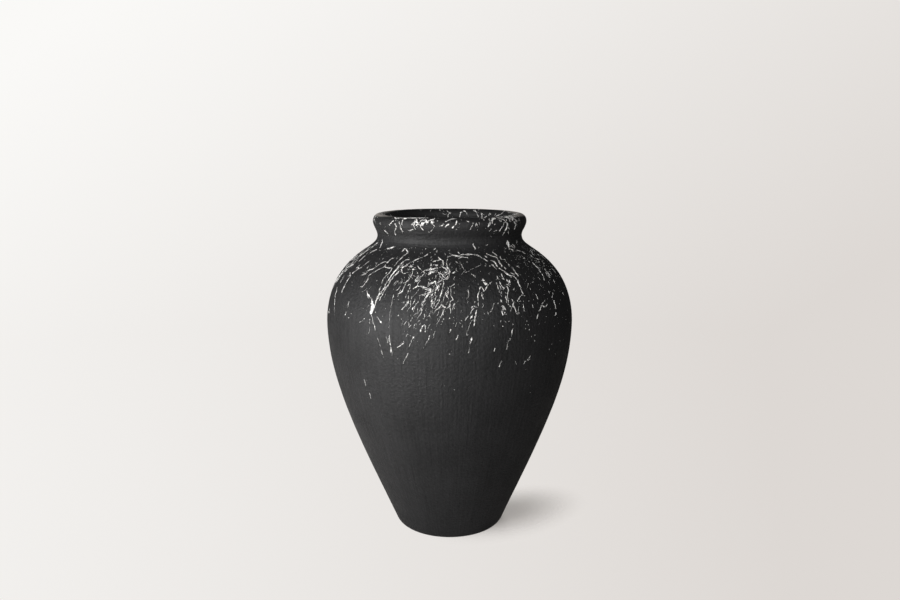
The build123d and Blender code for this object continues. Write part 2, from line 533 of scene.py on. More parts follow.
def drawn_through(places):
    """Places about a step apart on a smooth line through a few places."""
    laid = [Vector(place) for place in places]
    ends = [laid[0], *laid, laid[-1]]
    line = [laid[0]]
    for before, start, end, after in zip(ends, ends[1:], ends[2:], ends[3:]):
        length = hypot((end.x - start.x) / girth_degrees(start.y), end.y - start.y)
        count = ceil(length / LINE_STEP) + 1
        # Handles a sixth of the way between the neighbours let the line turn smoothly at each place
        leaving = start + (end - before) / 6
        arriving = end - (after - start) / 6
        line += interpolate_bezier(start, leaving, arriving, end, count + 1)[1:]
    return line


class Slip:
    """White slip on one part of the jar, laid point by point, as thousands of ridges follow the wall."""

    def __init__(self):
        self.points = []
        self.faces = []

    def add_stroke(self, brush, places):
        """A stroke as the hand flings it: a trembling main strand, hairs that stray by it, and a drop."""
        line = drawn_through(places)
        hand = chance.uniform(0, NOISE_SPAN)
        self.add_strand(line, range(len(line)), hand, 0, brush.width, STRAND_LOAD)
        for i in range(brush.hairs):
            start = int(chance.uniform(*HAIR_STARTS) * len(line))
            end = ceil(chance.uniform(*HAIR_ENDS) * len(line))
            self.add_strand(line, range(start, end), hand, brush.stray, brush.width * HAIR_SHARE, HAIR_LOAD)
        if brush.hairs:
            self.add_drop(chance.choice((line[0], line[-1])), brush.width * chance.uniform(*END_DROP))

    def add_strand(self, line, part, hand, stray, width, full):
        """One strand along a part of a line, knotted where it is wet and broken off where it runs dry."""
        seed = chance.uniform(0, NOISE_SPAN)
        wet = []
        for j in part:
            place = line[j]
            before, after = line[max(j - 1, 0)], line[min(j + 1, len(line) - 1)]
            girth = girth_degrees(place.y)
            run = Vector(((after.x - before.x) / girth, after.y - before.y)).normalized()
            shift = sway(HAND_SWAY, j, hand) + sway(STRAND_SWAY, j, seed) + stray * sway(STRAY_SWAY, j, seed)
            load = full + sway(QUICK_LOAD, j, seed) + sway(SLOW_LOAD, j, seed)
            if load > DRY:
                wet.append((place + Vector((-run.y * girth, run.x)) * shift, load))
            elif wet:
                self.add_line(width, wet)
                wet = []
        self.add_line(width, wet)

    def add_line(self, width, wet):
        """A low ridge of slip along places with a load of slip at each, thin at both ends."""
        if len(wet) < LEAST_POINTS:
            return
        line = [on_wall(place) for place, load in wet]
        last = len(line) - 1
        first = len(self.points)
        for i, (seat, out) in enumerate(line):
            run = line[min(i + 1, last)][0] - line[max(i - 1, 0)][0]
            from_tip = min(1, TIP_SHARE + TIP_GAIN * min(i, last - i))
            fullness = from_tip * (LEAST_SHARE + LOAD_GAIN * wet[i][1] ** 3)
            half = run.cross(out).normalized() * width / 2 * MM * fullness
            inner = half * TOP_SHARE
            top = out * SLIP_HEIGHT * MM * min(1, fullness)
            sunk = out * SLIP_SINK * MM
            self.points += [seat - half - sunk, seat - inner + top, seat + inner + top, seat + half - sunk]
        end = first + RIDGE_CORNERS * last
        for a in range(first, end, RIDGE_CORNERS):
            b = a + RIDGE_CORNERS
            for k in range(RIDGE_CORNERS):
                after = (k + 1) % RIDGE_CORNERS
                self.faces += [(a + k, a + after, b + after, b + k)]
        self.faces += [tuple(first + k for k in reversed(range(RIDGE_CORNERS)))]
        self.faces += [tuple(end + k for k in range(RIDGE_CORNERS))]

    def add_drop(self, place, radius):
        """A low bead of slip where a drop fell."""
        seat, out = on_wall(place)
        side = out.orthogonal().normalized()
        across = out.cross(side)
        first = len(self.points)
        for i in range(DROP_SIDES):
            turn = 2 * pi * i / DROP_SIDES
            reach = radius * MM * chance.uniform(*DROP_REACH)
            self.points += [seat + (side * cos(turn) + across * sin(turn)) * reach - out * SLIP_SINK * MM]
        self.points += [seat + out * SLIP_HEIGHT * MM]
        top = first + DROP_SIDES
        self.faces += [(first + i, first + (i + 1) % DROP_SIDES, top) for i in range(DROP_SIDES)]
        self.faces += [tuple(reversed(range(first, top)))]

    def make(self, name):
        """The piece, with its faces turned outward."""
        mesh = bpy.data.meshes.new(name)
        mesh.from_pydata(self.points, [], self.faces)
        piece = bpy.data.objects.new(name, mesh)
        bpy.context.collection.objects.link(piece)
        activate(piece)
        face_outward()
        bpy.ops.object.shade_smooth_by_angle(angle=radians(SLIP_SHARP_TURN))
        return piece


# Strokes that stand out, listed one by one, each a brush and the places it passes

left_knot = [
    (HEAVY, (-37, 128), (-36, 135), (-35.5, 141), (-36, 147)),
    (HEAVY, (-36.5, 131), (-35.6, 139), (-36.3, 146)),
    (HEAVY, (-36.2, 133), (-35, 138), (-35.3, 144)),
    (BOLD, (-34, 125), (-34.3, 132), (-34.9, 138)),
    (BOLD, (-36, 134), (-34.5, 138), (-35.5, 143)),
    (PLAIN, (-35, 136), (-34.2, 128), (-33.4, 118)),
    (PLAIN, (-42.5, 118), (-40.5, 123), (-37.5, 128)),
    (PLAIN, (-34.5, 133), (-33.5, 124), (-32, 112), (-31.5, 103), (-30, 87), (-28, 70), (-25, 66)),
    (FINE, (-34.3, 133), (-33.3, 124), (-31.8, 112), (-31.3, 103), (-29.8, 87), (-28, 71)),
    (FINE, (-34.5, 118), (-34, 110), (-34.5, 100), (-33, 92), (-32.5, 83)),
    (PLAIN, (-32.5, 130), (-32, 123), (-30.5, 110), (-29.5, 101), (-29, 95), (-27.5, 87)),
    (PLAIN, (-35.5, 147), (-34.5, 153), (-32.5, 166)),
    (FINE, (-36, 153), (-35.5, 166)),
    (BOLD, (-32.5, 149), (-31, 153), (-29.5, 156)),
    (PLAIN, (-39, 153), (-40, 156), (-42, 160)),
    (FINE, (-38.5, 144), (-38, 139), (-37.5, 135)),
    (FINE, (-29.5, 87), (-28.6, 79), (-27.6, 70)),
    (PLAIN, (-26.5, 85), (-26, 79), (-22, 69), (-16.5, 60), (-14.5, 54)),
    (PLAIN, (-34, 53), (-33, 48), (-29.5, 53), (-31, 66), (-32, 79)),
    (FINE, (-28.5, 95), (-27.5, 87)),
    (PLAIN, (-26.5, 84), (-25.5, 88), (-24, 90), (-22, 87)),
]
left_arcs = [
    (BOLD, (-36.5, 66), (-38, 70), (-38.5, 76)),
    (FINE, (-39, 75), (-41.5, 75), (-44, 82), (-45.5, 88), (-51.5, 96)),
    (BOLD, (-38.5, 79), (-37, 83), (-32.5, 83)),
    (FINE, (-38.5, 81), (-40, 86), (-43, 92), (-45, 99), (-44.5, 108), (-47, 116)),
    (FINE, (-54.5, 76), (-55.5, 87), (-57, 90)),
    (BOLD, (-60.5, 90), (-57, 91)),
    (PLAIN, (-58, 91), (-59, 95), (-60, 101)),
    (PLAIN, (-64, 101), (-60, 106)),
    (PLAIN, (-60.5, 107), (-61, 119), (-61, 130)),
    (FINE, (-51.5, 137), (-51.5, 147), (-52.5, 155)),
    (BOLD, (-70.5, 44), (-73, 48)),
    (PLAIN, (-72.5, 48), (-73.5, 62), (-73, 76)),
    (FINE, (-73, 76), (-79.5, 82), (-83, 89)),
    (FINE, (-64, 39), (-61, 46), (-59, 52)),
    (PLAIN, (-60.5, 55), (-63.5, 59)),
    (FINE, (-63.5, 59), (-63.5, 64)),
    (BOLD, (-43.5, 46), (-47, 48), (-50, 50)),
    (PLAIN, (-68.5, 88), (-75.5, 99), (-79, 116), (-78.5, 128)),
    (FINE, (-84.5, 91), (-85.5, 100), (-82.5, 114)),
    (FINE, (-71.5, 77), (-70, 87), (-73.5, 92)),
    (FINE, (-69.5, 125), (-67.5, 137), (-63, 156)),
    (FINE, (-73, 155), (-73.5, 164)),
    (FINE, (-47.5, 88), (-48.5, 97), (-51, 99)),
    (FINE, (-42, 116), (-44.5, 121)),
    (FINE, (-69.5, 91), (-72.5, 101), (-76, 111), (-76.5, 121)),
    (FINE, (-86.5, 56), (-79.5, 67), (-74.5, 77), (-72.5, 90)),
]
tangle = [
    (BOLD, (-20.5, 83), (-19, 83)),
    (PLAIN, (-20, 85), (-19.5, 90), (-20.5, 100), (-21.5, 103)),
    (PLAIN, (-21.5, 103), (-22, 113), (-24, 122)),
    (FINE, (-24.5, 102), (-21.5, 103)),
    (FINE, (-23.5, 108), (-25, 115)),
    (PLAIN, (-18, 77), (-15.5, 83), (-13, 87)),
    (FINE, (-17, 72), (-17, 76)),
    (BOLD, (-16, 92), (-16, 99)),
    (PLAIN, (-17, 97), (-16, 99), (-14.5, 92)),
    (FINE, (-22.5, 78), (-19.5, 79)),
    (FINE, (-19.5, 105), (-20, 107), (-18.5, 105)),
    (FINE, (-18.5, 92), (-17, 94)),
    (BOLD, (-7, 60), (-4.5, 66), (-3.5, 71), (-4, 77), (-5.5, 79)),
    (PLAIN, (-5, 65), (-8, 67), (-10, 69)),
    (FINE, (-10.5, 71), (-10.5, 76)),
    (BOLD, (-4, 77), (-2.5, 80), (-1, 80)),
    (BOLD, (-10.5, 81), (-8.5, 81), (-6.5, 79)),
    (PLAIN, (-13.5, 84), (-11, 82), (-10.5, 77)),
    (HEAVY, (-11, 90), (-9.5, 86), (-7.5, 86), (-6.5, 83)),
    (BOLD, (-1.5, 62), (-2, 70), (-1, 79), (-2.5, 86)),
    (PLAIN, (-0.5, 79), (0, 87), (-1, 95), (-3.5, 97)),
    (PLAIN, (-1, 84), (-2.5, 88)),
    (PLAIN, (-1, 92), (-1.5, 94), (-2.5, 96)),
    (PLAIN, (-2.5, 96), (-4.5, 99), (-5.5, 102), (-5, 106)),
    (PLAIN, (-3.5, 100), (-4.5, 104), (-5.5, 109), (-6.5, 112), (-6.5, 114)),
    (FINE, (-5, 90), (-4, 93), (-5.5, 95)),
    (FINE, (-3.5, 78), (-1.5, 83), (-0.3, 89)),
    (FINE, (-6, 86), (-4, 89), (-2, 95)),
    (FINE, (-4.5, 84), (-5, 91), (-3.5, 96)),
    (BOLD, (-8.5, 74), (-7, 76)),
    (PLAIN, (-3, 98), (-3, 105), (-3.5, 112), (-4, 119)),
    (BOLD, (-4, 116), (-4, 120)),
    (PLAIN, (-4, 120), (-5, 128), (-6.5, 135)),
    (FINE, (-7, 90), (-6.5, 95)),
    (BOLD, (-10, 100), (-9, 103), (-7, 100), (-6.5, 103), (-5.5, 108)),
    (BOLD, (-10, 101), (-10, 107)),
    (PLAIN, (-6, 108), (-6.5, 112)),
    (BOLD, (-17, 111), (-15.5, 107)),
    (PLAIN, (-15.5, 107), (-13, 107), (-9, 110)),
    (HEAVY, (-9, 110), (-8.5, 113), (-9.5, 115)),
    (BOLD, (-9.5, 115), (-10.5, 122), (-11.5, 127)),
    (BOLD, (-9.5, 99), (-10, 96)),
    (PLAIN, (-10.5, 116), (-12.5, 118), (-13.5, 120)),
    (PLAIN, (-6.5, 114), (-6.5, 117), (-5.5, 122)),
    (FINE, (-6.5, 117), (-7.5, 122)),
]
tangle_falls = [
    (PLAIN, (-11.5, 126), (-12, 132), (-13, 139)),
    (PLAIN, (-12, 134), (-12, 140), (-13.5, 147)),
    (PLAIN, (-14.5, 129), (-15, 133), (-16, 137)),
    (BOLD, (-18.5, 127), (-19, 131), (-21, 138)),
    (PLAIN, (-17.5, 130), (-19, 128)),
    (FINE, (-18.5, 120), (-18.5, 124)),
    (FINE, (-17, 120), (-17, 136)),
    (FINE, (-15, 124), (-16, 129)),
    (FINE, (-10.5, 141), (-10.5, 145)),
    (BOLD, (-7.5, 124), (-8, 127)),
    (FINE, (-7.5, 127), (-7.5, 132), (-7, 135)),
    (PLAIN, (-7, 135), (-8, 139), (-8.5, 142), (-8, 145)),
    (PLAIN, (-3.5, 129), (-4.5, 133), (-6, 137), (-7, 142)),
    (BOLD, (0.5, 125), (0, 130), (-1.5, 133), (-2.5, 132), (-3, 130)),
    (FINE, (2.5, 102), (1, 106), (0.5, 110), (0.5, 118)),
    (PLAIN, (0.5, 118), (1.5, 123), (0.5, 125)),
    (FINE, (-1, 107), (-0.5, 110), (-1, 114), (-2, 118), (-3, 125), (-3.5, 128)),
    (FINE, (-2.5, 108), (-2, 112), (-1.5, 118), (-1, 121), (0, 124)),
    (PLAIN, (0, 132), (0.5, 136), (0.5, 140)),
    (PLAIN, (-2, 135), (-3, 141), (-4, 146)),
    (FINE, (-2.5, 134), (-3, 137)),
    (FINE, (-4.5, 145), (-5.5, 153)),
    (PLAIN, (-10.5, 154), (-11.5, 159), (-12, 163)),
    (PLAIN, (-10.5, 154), (-10, 157), (-10, 163)),
    (FINE, (-8, 153), (-9, 159)),
    (FINE, (-6, 161), (-6.5, 170)),
    (PLAIN, (-8, 167), (-9, 174), (-10, 179)),
    (FINE, (-18, 151), (-19, 156)),
    (FINE, (-19.5, 150), (-20, 156)),
    (FINE, (-16, 155), (-17, 158)),
    (FINE, (-18.5, 163), (-19, 165)),
    (FINE, (-12.5, 149), (-13.5, 151)),
    (FINE, (-15.5, 146), (-16.5, 151)),
    (FINE, (-19, 175), (-20.5, 179)),
    (FINE, (-17, 166), (-18, 170)),
]
crown_arc = [
    (PLAIN, (3, 56), (5.5, 58), (8, 60)),
    (FINE, (0.5, 54), (3, 56), (5.5, 57)),
    (PLAIN, (5.5, 63), (7.5, 59), (10, 55)),
    (FINE, (3.5, 67), (5, 71)),
    (FINE, (0.5, 63), (2.5, 67)),
    (FINE, (7, 73), (7, 77), (8, 82)),
    (FINE, (3, 84), (2, 87), (1, 87)),
    (BOLD, (5.5, 50), (6.5, 53)),
    (PLAIN, (-3, 52), (-2.5, 56)),
    (PLAIN, (-9, 48), (-8.5, 51)),
    (FINE, (-11, 47), (-9.5, 45)),
    (FINE, (-11.5, 59), (-12, 62)),
    (PLAIN, (-1.5, 61), (0.5, 58), (3, 56), (6, 57), (9, 55), (14.5, 55), (19.5, 60), (23, 69)),
    (BOLD, (7, 59), (11.5, 62)),
    (BOLD, (23, 59), (24, 62)),
    (PLAIN, (25.5, 56), (27.5, 60), (30, 62)),
    (PLAIN, (30, 62), (30.5, 66), (30, 80)),
    (PLAIN, (30, 53), (31, 58), (31, 63)),
    (BOLD, (25, 67), (27, 71), (27, 77)),
    (PLAIN, (27, 76), (27.5, 82), (30, 88)),
    (BOLD, (30, 86), (30, 91)),
    (PLAIN, (24.5, 74), (25, 79), (26, 83)),
    (FINE, (22.5, 77), (23, 79)),
    (PLAIN, (27.5, 91), (27.5, 100)),
    (BOLD, (30, 91), (32.5, 95), (34, 96), (35, 101)),
    (PLAIN, (35, 100), (35, 115)),
    (FINE, (35, 115), (35.5, 122)),
    (FINE, (34, 61), (32.5, 68), (35, 68), (34, 72)),
    (PLAIN, (36.5, 83), (36.5, 91), (37, 97)),
    (FINE, (33, 91), (35, 94)),
    (BOLD, (40, 82), (41.5, 82)),
    (PLAIN, (35.5, 76), (34.5, 81)),
    (FAINT, (8, 87), (12.5, 81), (17.5, 75)),
    (BOLD, (17.5, 39), (18.5, 46)),
    (BOLD, (27.5, 42), (29.5, 41)),
]
right_fall = [
    (BOLD, (29, 100), (29, 104)),
    (BOLD, (30.5, 101), (30, 105)),
    (PLAIN, (28, 107), (29.5, 107), (31, 107)),
    (FINE, (29.5, 110), (28.5, 107)),
    (BOLD, (27, 98), (27.5, 100)),
    (PLAIN, (28, 109), (28, 114), (27, 119), (25.5, 130)),
    (PLAIN, (27, 109), (26, 112)),
    (PLAIN, (26, 112), (25, 108), (24.5, 101), (24.5, 94)),
    (PLAIN, (25.5, 112), (26, 119)),
    (FINE, (23, 103), (23, 111), (23.5, 123)),
    (FINE, (24.5, 109), (24, 119)),
    (BOLD, (23, 126), (23.5, 129)),
    (BOLD, (22.5, 132), (24, 135), (24.5, 139)),
    (PLAIN, (24, 134), (23, 139), (23, 145), (24, 141)),
    (FINE, (22, 151), (21.5, 153)),
    (BOLD, (31.5, 112), (31, 115)),
    (PLAIN, (28.5, 126), (29, 133), (29.5, 143)),
    (BOLD, (29.5, 145), (31, 144)),
    (FINE, (28.5, 132), (27, 141)),
    (FINE, (26, 132), (27, 136)),
    (PLAIN, (11, 89), (13, 94)),
    (HEAVY, (16.5, 97), (17, 100)),
    (HEAVY, (16.5, 102), (18, 105)),
    (PLAIN, (18, 106), (20.5, 102)),
    (PLAIN, (18, 107), (16, 114)),
    (BOLD, (14, 111), (14.5, 108), (16, 113)),
    (PLAIN, (14, 110), (13, 116), (12.5, 125)),
    (PLAIN, (16, 113), (14.5, 119), (15, 124)),
    (FINE, (12.5, 126), (12.5, 132)),
    (PLAIN, (10.5, 132), (12, 134)),
    (PLAIN, (10.5, 134), (9, 139), (6.5, 149)),
    (PLAIN, (11.5, 137), (11, 144)),
    (BOLD, (11, 144), (10.5, 151)),
    (PLAIN, (10.5, 151), (10, 156)),
    (PLAIN, (9.5, 142), (8.5, 147)),
    (FINE, (9.5, 148), (7.5, 159), (7, 167)),
    (FINE, (8.5, 111), (8.5, 119), (7.5, 123)),
    (PLAIN, (20, 129), (18.5, 135), (17.5, 140)),
    (FINE, (3, 151), (2.5, 156)),
    (FINE, (5, 154), (5, 157)),
]
right_side = [
    (HEAVY, (49.5, 39), (48.5, 45)),
    (HEAVY, (49.6, 38), (49.1, 42), (48, 47)),
    (BOLD, (48.5, 45), (46, 51)),
    (BOLD, (47.5, 50), (49.5, 53)),
    (PLAIN, (51, 45), (53, 51)),
    (FINE, (53.5, 43), (55, 48)),
    (PLAIN, (63, 40), (61.5, 44)),
    (FINE, (42, 47), (43.5, 49)),
    (PLAIN, (53, 54), (56, 58), (58, 63)),
    (BOLD, (77, 60), (73.5, 62)),
    (BOLD, (67, 65), (67, 70)),
    (FINE, (61, 70), (66, 79)),
    (BOLD, (56, 91), (55.5, 97)),
    (PLAIN, (55.5, 99), (55, 104), (53.5, 109)),
    (FINE, (55, 81), (56, 86), (56, 92)),
    (FINE, (61, 95), (59.5, 106)),
    (PLAIN, (43, 124), (43.5, 131)),
    (FINE, (41, 108), (39, 115)),
    (FINE, (32, 128), (34, 123), (36, 124)),
    (FINE, (34.5, 129), (34, 135), (33.5, 143)),
    (FINE, (31.5, 136), (30.5, 142)),
    (FINE, (32, 126), (31.5, 131), (33, 130)),
    (PLAIN, (74.5, 68), (75.5, 72), (80, 76)),
    (FINE, (79, 77), (77.5, 88)),
    (FINE, (65.5, 76), (66.5, 80)),
    (PLAIN, (62.5, 93), (61.5, 102)),
    (FINE, (61.5, 101), (60.5, 108)),
    (FINE, (61.5, 96), (62, 103)),
    (PLAIN, (63, 111), (63, 116)),
    (BOLD, (56, 126), (56, 129)),
    (PLAIN, (55.5, 130), (54, 133)),
    (BOLD, (55, 136), (55, 148)),
    (PLAIN, (54.5, 152), (53, 156)),
    (FINE, (53.5, 121), (53.5, 127)),
    (PLAIN, (44, 140), (45, 140), (47, 141), (48.5, 140)),
    (FINE, (44.2, 140.4), (47, 141.2), (48.7, 140)),
    (PLAIN, (44.5, 140), (43, 144), (42, 146)),
    (FINE, (41.5, 149), (40.5, 155)),
    (FINE, (45, 138), (48, 134)),
    (FINE, (73.5, 96), (74, 105)),
    (FINE, (64.5, 86), (64.5, 90)),
]
low_dashes = [
    (FAINT, (-35.5, 163), (-36, 171)),
    (FAINT, (-31.5, 175), (-30, 185), (-28.5, 199)),
    (BOLD, (-27, 172), (-26.5, 179)),
    (PLAIN, (-25.5, 170), (-25, 184)),
    (BOLD, (-25, 184), (-24.5, 195)),
    (FAINT, (-26, 120), (-26, 140), (-26, 161)),
    (PLAIN, (-19, 177), (-20.5, 181), (-22, 184)),
    (PLAIN, (-14.5, 169), (-16, 177), (-16.5, 181)),
    (PLAIN, (-17, 190), (-19.5, 203)),
    (PLAIN, (3.5, 166), (2.5, 172)),
    (PLAIN, (9, 169), (8, 180)),
    (FINE, (8, 182), (7.5, 188)),
    (FINE, (27, 162), (26, 173)),
    (PLAIN, (26, 173), (25.5, 176)),
    (FINE, (25, 176), (24, 187)),
    (FINE, (19, 183), (18.5, 188)),
    (PLAIN, (22, 200), (21, 208)),
    (PLAIN, (36.5, 199), (35, 205)),
    (FINE, (34, 205), (33, 208)),
    (FINE, (28.5, 203), (29.5, 208)),
    (FAINT, (-41, 233), (-40.5, 242)),
    (FAINT, (-39.5, 251), (-39, 259)),
]
on_lip = [
    (PLAIN, (-75.5, 7), (-76.5, 11), (-72, 15), (-71, 18)),
    (FINE, (-68.5, 8), (-68.5, 13)),
    (BOLD, (-43.5, 10), (-45.5, 13), (-47.5, 17)),
    (PLAIN, (-45, 5), (-42.5, 7), (-42, 4)),
    (PLAIN, (-41, 6), (-38, 4), (-35, 6)),
    (BOLD, (-35, 6), (-32.5, 5)),
    (BOLD, (-42, 14), (-41, 15)),
    (PLAIN, (-41.5, 15), (-40.5, 18), (-43.5, 24), (-44, 30)),
    (BOLD, (-38, 11), (-37, 13)),
    (PLAIN, (-37, 13), (-36, 22), (-36, 26)),
    (PLAIN, (-35, 8), (-35, 15)),
    (PLAIN, (-30.5, 21), (-28, 21), (-26, 20)),
    (PLAIN, (-30, 21.5), (-28, 21.2), (-26.5, 20.3)),
    (BOLD, (-27, 14), (-25.5, 11), (-23, 11), (-21.5, 12)),
    (PLAIN, (-26, 13), (-25, 15), (-24.5, 18), (-24, 21)),
    (PLAIN, (-23, 11), (-23.5, 8), (-24.5, 5)),
    (BOLD, (-22.5, 13), (-23.5, 15)),
    (BOLD, (-21.5, 12), (-20.5, 9), (-19.5, 5), (-19, 5)),
    (HEAVY, (-19, 5), (-17, 8), (-15, 11)),
    (BOLD, (-19, 9), (-19.5, 12), (-20, 15), (-20, 17)),
    (BOLD, (-17, 10), (-18.5, 12), (-18.5, 15)),
    (PLAIN, (-20, 17), (-19.5, 19), (-18.5, 21)),
    (PLAIN, (-23, 6), (-21.5, 3)),
    (BOLD, (-17, 9), (-15.5, 11)),
    (PLAIN, (-14.5, 8), (-13.5, 6), (-11, 5), (-11, 1)),
    (HEAVY, (-13, 10), (-12, 10), (-11, 10)),
    (FINE, (-12.5, 12), (-11.5, 14), (-10, 15), (-11, 18), (-13, 22)),
    (FINE, (-36, 5), (-30.5, 4), (-25.5, 4)),
    (FINE, (-23, 3), (-19.5, 2), (-16, 2)),
    (PLAIN, (-7, 15), (-3.5, 12)),
    (PLAIN, (-3, 9), (1, 5), (3.5, 4)),
    (BOLD, (-0.5, 12), (-3, 16)),
    (FINE, (-57, 24), (-53.5, 29), (-53, 32)),
    (FINE, (-63.5, 39), (-62, 42), (-61.5, 47)),
    (FINE, (-33, 3), (-25.5, 3), (-22, 0)),
    (PLAIN, (-23.5, 10), (-22, 13), (-19.5, 15)),
    (PLAIN, (-16.5, 13), (-14.5, 9)),
    (FINE, (0, 6), (2.5, 4), (6, 5), (10, 8)),
    (BOLD, (5, 7), (4, 13)),
    (PLAIN, (4, 13), (2, 18)),
    (FINE, (16.5, 10), (15.5, 15), (14, 20)),
    (FINE, (19, 11), (18, 16)),
    (FINE, (10.5, 8), (13.5, 10)),
    (BOLD, (30, 5), (29, 11), (27.5, 17)),
    (HEAVY, (31, 9), (34, 5), (35.5, 6)),
    (BOLD, (31.5, 7), (31, 13)),
    (BOLD, (37, 7), (40.5, 5), (45, 2)),
    (PLAIN, (37.5, 8), (39.5, 11)),
    (BOLD, (41.5, 7), (43.5, 11), (45, 15), (44.5, 19), (43.5, 25), (43, 30)),
    (PLAIN, (48, 8), (47.5, 12)),
    (BOLD, (44, 4), (47.5, 5), (50, 8)),
    (BOLD, (47, 3), (51.5, 5), (53.5, 9)),
    (PLAIN, (46.5, 5), (50.5, 4), (55.5, 3)),
    (PLAIN, (39.5, 2), (40, 5), (44.5, 3)),
    (FINE, (66, 3), (63, 8)),
    (PLAIN, (100, -8), (90.5, -6), (80, -3)),
    (PLAIN, (114, -6), (110, -6), (110.5, -3)),
    (BOLD, (41, 13), (41.5, 14)),
    (PLAIN, (41.5, 14), (39.5, 18), (38, 24)),
    (FINE, (31, 19), (29, 23)),
    (FINE, (35.5, 22), (32, 24)),
    (BOLD, (50.5, 8), (52.5, 12), (54, 15)),
    (PLAIN, (53.5, 7), (55.5, 10), (57, 14)),
    (PLAIN, (50, 10), (48, 12)),
    (BOLD, (46.5, 19), (47.5, 21)),
    (BOLD, (47.5, 25), (49, 29)),
    (FINE, (61, 9), (61, 13)),
]
inside_neck = [
    (PLAIN, (-170, -5), (-171, -8)),
    (BOLD, (-177.5, -6), (-180, -11), (-178.5, -14)),
    (PLAIN, (-178.5, -14), (-178, -18)),
    (FINE, (-172.5, -11), (-175, -13), (-177, -12)),
    (PLAIN, (167.5, -9), (169.5, -12), (170.5, -18)),
    (BOLD, (156, -5), (153.5, -8)),
    (FINE, (153.5, -8), (150.5, -17)),
    (PLAIN, (148.5, -11), (144.5, -13)),
    (BOLD, (129, -14), (124, -11), (121, -7), (122, -2)),
    (PLAIN, (138, -11), (135.5, -12)),
    (FINE, (139, -13), (135, -11)),
    (PLAIN, (157.5, -6), (153.5, -9), (150.5, -16)),
    (FINE, (163.5, -10), (161, -16)),
    (PLAIN, (138.5, -9), (138.5, -14)),
    (PLAIN, (148, -10), (146.5, -15)),
    (BOLD, (143, -16), (140.5, -15)),
    (FINE, (167.5, -7), (164, -9)),
    (FINE, (129.5, -9), (130.5, -14)),
]
front = [
    *left_knot,
    *left_arcs,
    *tangle,
    *tangle_falls,
    *crown_arc,
    *right_fall,
    *right_side,
    *low_dashes,
    *on_lip,
]

# Drops that stand out, listed too
front_drops = [
    *[(-47, 78), (-38, 104), (-55.5, 112), (-49.5, 157), (-48, 151), (-33.5, 144), (-44, 30)],
    *[(-17, 46), (-18.5, 53), (-13, 52), (-8.5, 95), (-7, 74), (2, 134), (-2.5, 147), (0, 146)],
    *[(-3, 150), (-3.5, 153), (5, 149), (-20.5, 149), (-22, 145), (-7.5, 126), (0, 189), (-22, 198)],
    *[(18, 46), (21.5, 130), (24.5, 144), (22.5, 158), (25.5, 153), (40.5, 54), (39.5, 71), (25.5, 174)],
    *[(48.5, 77), (47.5, 65), (49.5, 67), (51, 70), (59, 81), (44, 108), (45, 108), (49, 114), (36, 124)],
    *[(37.5, 131), (47, 119), (46.5, 154), (34.5, 155), (33.5, 159), (35, 160), (33.5, 164), (35.5, 166)],
    *[(38.5, 174), (36.5, 175), (38.5, 181), (40.5, 130), (68, 133), (68, 156), (52.5, 97), (71, 97)],
    *[(48.5, 197), (2, 235), (-14.5, 23), (-8.5, 8), (2, 17), (33.5, 27), (32, 31), (146.5, -15)],
]
# Knots where strokes meet and the slip stands thick
knots = [
    *[(-36, 138), (-35.6, 143), (-4, 77), (-10.5, 80), (-0.8, 80), (-8.5, 101), (-9, 112), (-9.8, 118)],
    *[(-2, 133), (17, 99), (17.6, 103.5), (29.8, 103.5), (27.2, 77), (23.6, 136), (48.6, 139.9)],
    *[(-19.5, 12), (-36.4, 134), (-35.2, 140), (-18.3, 7.5), (-16.8, 10), (-23, 11), (51.6, 10), (32, 9)],
    *[(33, 14), (48.8, 42), (49.5, 46), (45, 16), (-15, 8), (-7, 75), (146.5, -16), (141.8, -15.5)],
    *[(-36.3, 131.5), (-36, 145.5), (49.3, 40), (49, 43.8), (50.6, 7.4), (46.2, 4.6), (-35.4, 136.5)],
    *[(-25, 12), (-12, 10), (30.4, 102), (29.4, 105.5)],
]

# Fine flicks and drops between them, by chance: how many, the middle and spread of the turn, the tape marks
# they start at (highest, commonest, lowest), the longest flick, and the lean of the flicks in degrees
Spray = namedtuple("Spray", "count turn spread tape length lean")
HALF_ROUND = 180
ALL_ROUND = 360
flicks = [
    Spray(120, 0, ALL_ROUND, (40, 52, 120), 6, 0),
    Spray(60, -12, 8, (62, 100, 160), 10, -24),
    Spray(40, -7.5, 6, (100, 125, 170), 12, -24),
    Spray(10, -6, 4.5, (98, 110, 132), 25, -22),
    Spray(25, -4, 3.5, (60, 80, 120), 8, -10),
    Spray(6, -31, 4, (60, 85, 125), 14, -16),
    Spray(6, -50, 12, (72, 92, 125), 9, -40),
    Spray(14, -21, 3, (88, 100, 115), 8, -10),
    Spray(8, -22, 3, (72, 82, 92), 7, 60),
    Spray(18, -74, 7, (55, 95, 145), 14, -8),
    Spray(8, 27, 6, (55, 75, 110), 10, 30),
    Spray(8, 26, 6, (95, 120, 160), 10, 4),
    Spray(6, 11, 4, (95, 130, 165), 10, -12),
    Spray(20, 58, 10, (45, 80, 140), 9, 14),
    Spray(30, 0, ALL_ROUND, (-5, 3, 18), 6, 0),
    Spray(25, 42, 12, (-4, 5, 22), 8, 8),
    Spray(12, -20, 4, (4, 9, 17), 6, 0),
    Spray(60, 0, ALL_ROUND, (-34, -6, -3), 9, 0),
]
drops = [
    Spray(420, 0, ALL_ROUND, (42, 60, 190), 0, 0),
    Spray(120, 44, 12, (48, 75, 210), 0, 0),
    Spray(150, 64, 11, (42, 75, 135), 0, 0),
    Spray(140, 0, ALL_ROUND, (40, 47, 58), 0, 0),
    Spray(110, -10, 10, (60, 110, 190), 0, 0),
    Spray(40, 0, ALL_ROUND, (1, 6, 30), 0, 0),
    Spray(26, 0, ALL_ROUND, (200, 215, 300), 0, 0),
]
